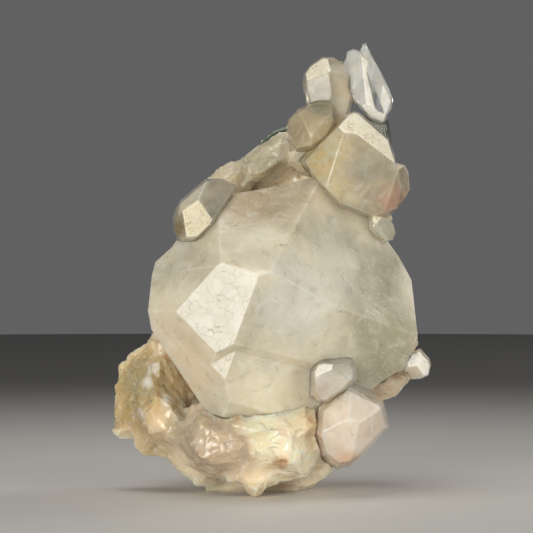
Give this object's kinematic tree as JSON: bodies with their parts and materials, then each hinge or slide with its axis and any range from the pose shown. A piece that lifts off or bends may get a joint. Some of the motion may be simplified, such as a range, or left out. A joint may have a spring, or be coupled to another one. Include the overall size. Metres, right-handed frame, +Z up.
{
  "type": "analcime specimen",
  "caption": "Pale translucent analcime: one large blocky crystal with small clear and milky crystals around it, standing on a broken matrix with a flat foot",
  "frame": {"origin": "middle of the underside, on the plane the specimen stands on", "axes": "+Z up, the large crystal's corner looks along -Y, +X to the viewer's right"},
  "size_m": [0.0424, 0.0372, 0.059],
  "materials": {
    "milky_crystal": "milky translucent, vitreous, with frosted patches",
    "honey_crystal": "translucent, faintly yellow, vitreous",
    "pink_crystal": "translucent, faintly pink, broken surface",
    "clear_crystal": "clear, vitreous",
    "dark_crystal": "clear, greenish grey, vitreous",
    "matrix": "rough broken stone, translucent at the edges"
  },
  "bodies": {
    "root": {"main_crystal": "milky_crystal", "top_crystals": "honey_crystal", "upper_left_crystal": "honey_crystal", "lower_middle_crystal": "milky_crystal", "lower_right_crystal": "pink_crystal", "right_edge_crystal": "milky_crystal", "clear_crystal": "clear_crystal", "back_crystal": "dark_crystal", "matrix": "matrix"}
  },
  "joints": []
}
